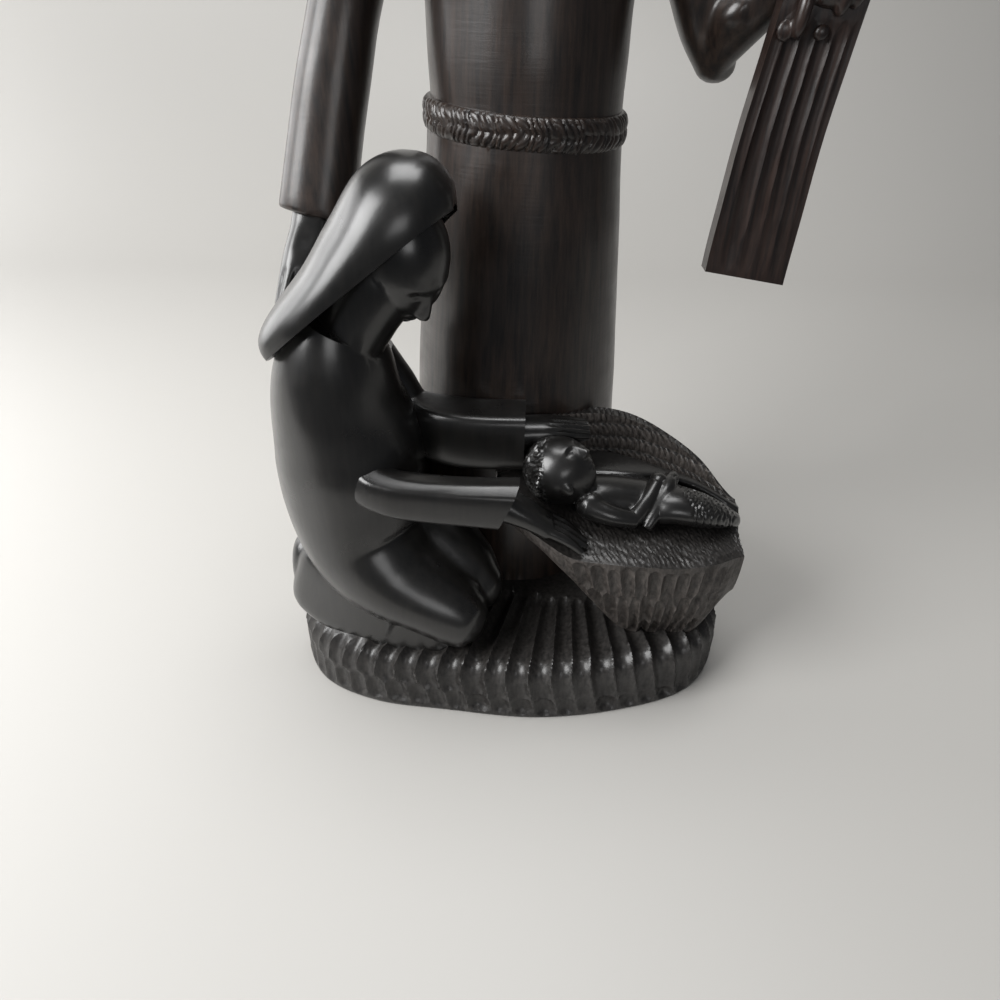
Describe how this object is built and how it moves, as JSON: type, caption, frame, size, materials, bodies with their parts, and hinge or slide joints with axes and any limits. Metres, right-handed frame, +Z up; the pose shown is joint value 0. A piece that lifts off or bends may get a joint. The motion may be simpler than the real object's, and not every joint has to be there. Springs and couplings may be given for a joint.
{
  "type": "ebony family sculpture",
  "caption": "Carved ebony group: a standing robed figure over a kneeling veiled figure and a child in a manger, on a low fluted base.",
  "frame": {"origin": "middle of the flat underside of the base, on the surface it stands on", "axes": "+Z up along the standing figure, +X to the raised arm and the manger's foot end, +Y to the figure's back"},
  "size_m": [0.1875, 0.1441, 0.3395],
  "materials": {
    "ebony": "hand-rubbed satin on figures and robe, matt from the gouge on base and manger"
  },
  "bodies": {
    "root": {"family_sculpture": "ebony"}
  },
  "joints": []
}
